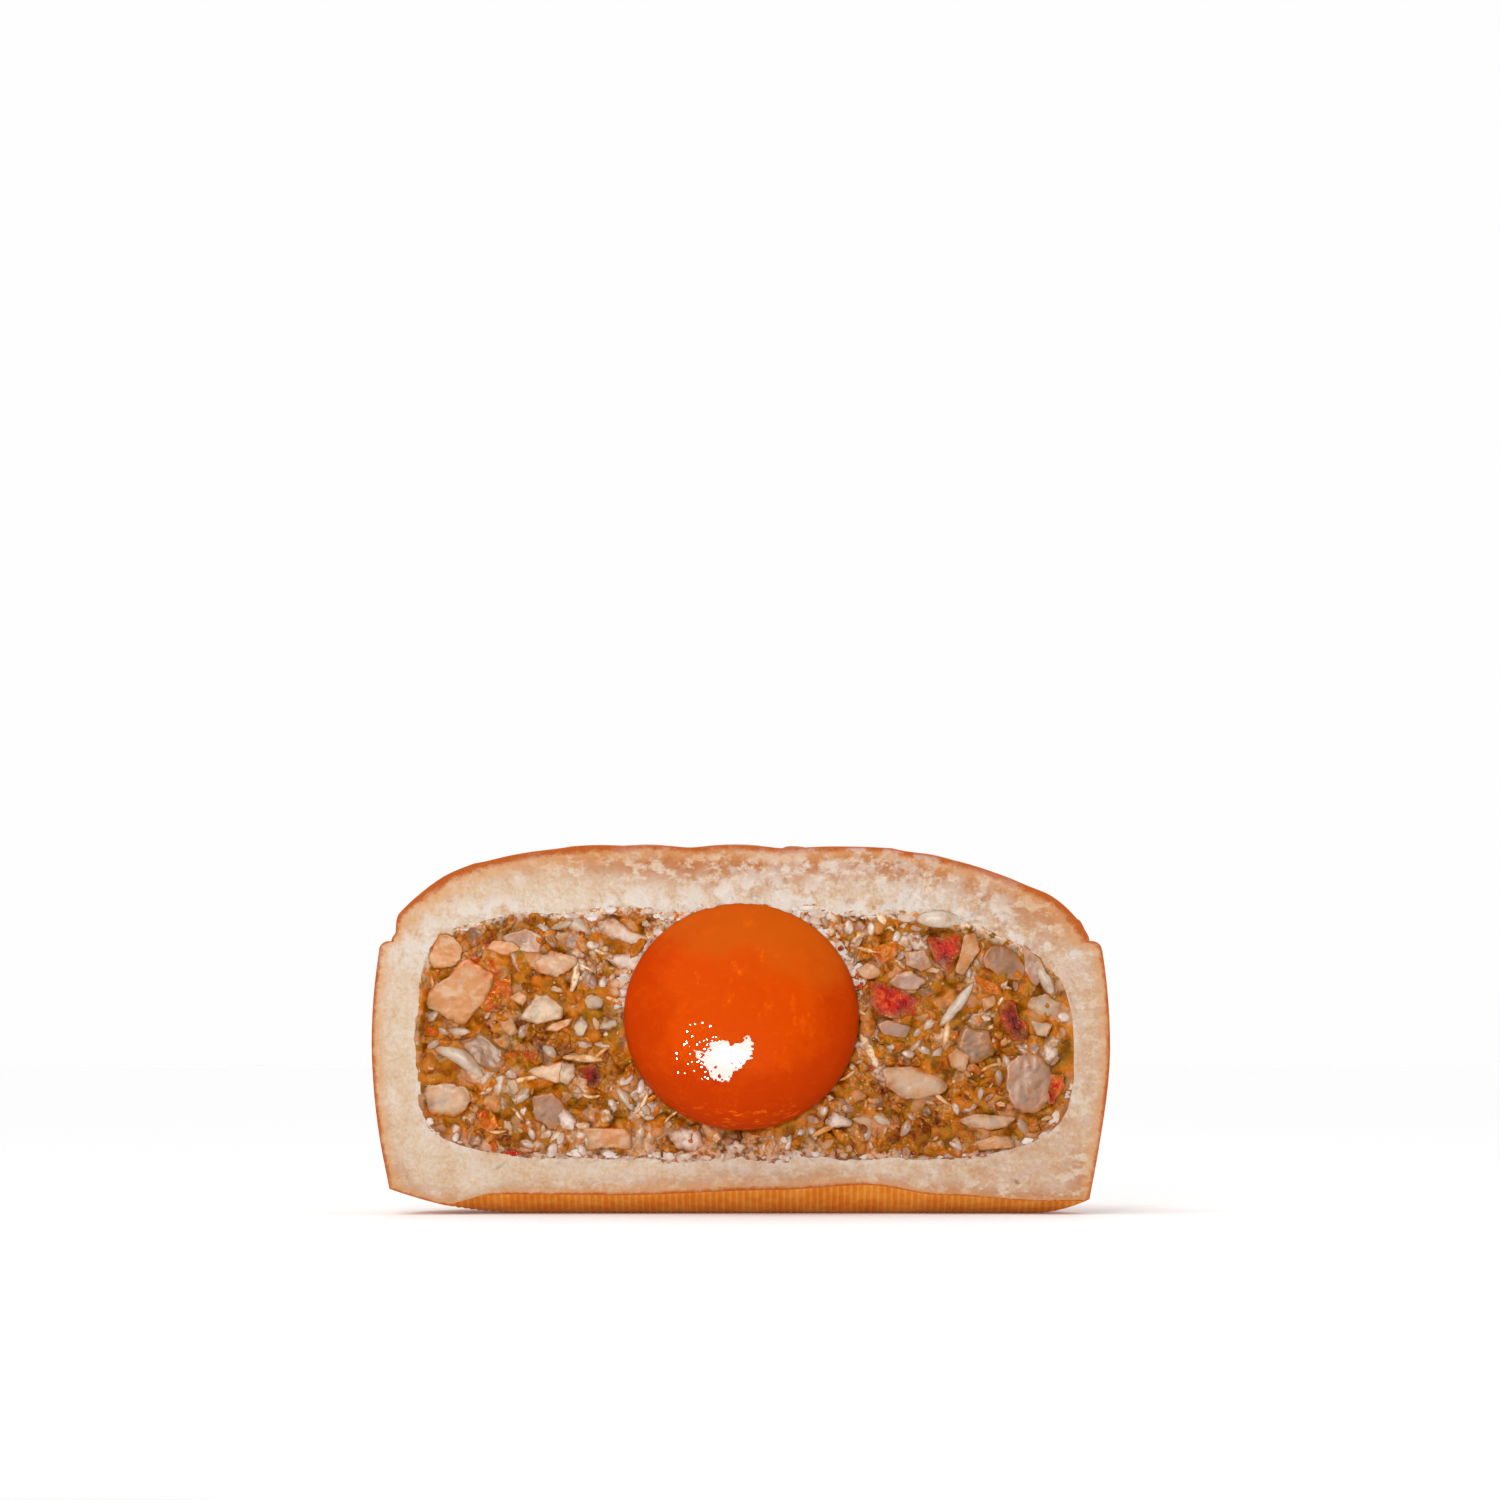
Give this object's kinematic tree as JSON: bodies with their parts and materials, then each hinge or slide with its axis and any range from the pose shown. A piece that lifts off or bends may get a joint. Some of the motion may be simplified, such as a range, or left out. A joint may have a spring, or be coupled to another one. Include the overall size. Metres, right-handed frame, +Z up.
{
  "type": "baked fruit mooncake half",
  "caption": "Half of a round baked mooncake with a moulded crust, cut to show a fruit, nut and seed filling around a whole egg yolk.",
  "frame": {"origin": "middle of the base, below the centre of the half cake's bounding box", "axes": "+Z up through the moulded top, the cut faces -Y, +X to the right as the cut is looked at"},
  "size_m": [0.088, 0.052, 0.0441],
  "materials": {
    "crust": "baked pastry: satin orange-brown skin outside, pale cream crumb on the cut",
    "filling": "moist golden-brown paste packed with seeds, shreds and small fruit",
    "yolk": "translucent orange salted egg yolk with a wet gloss",
    "nut": "chopped nut, cream with toasted edges",
    "seed": "hulled melon seed, ivory, slightly waxy",
    "red_fruit": "candied red fruit, glossy and translucent",
    "candied_melon": "candied winter melon, greyish and translucent"
  },
  "bodies": {
    "root": {"crust": "crust", "filling": "filling", "yolk": "yolk", "nut_chunk_1": "nut", "nut_chunk_2": "nut", "nut_chunk_3": "nut", "nut_slice_1": "nut", "nut_slice_2": "nut", "melon_seed_1": "seed", "melon_seed_2": "seed", "melon_seed_3": "seed", "melon_seed_4": "seed", "red_fruit_1": "red_fruit", "red_fruit_2": "red_fruit", "red_fruit_3": "red_fruit", "candied_melon_1": "candied_melon", "candied_melon_2": "candied_melon", "candied_melon_3": "candied_melon"}
  },
  "joints": []
}
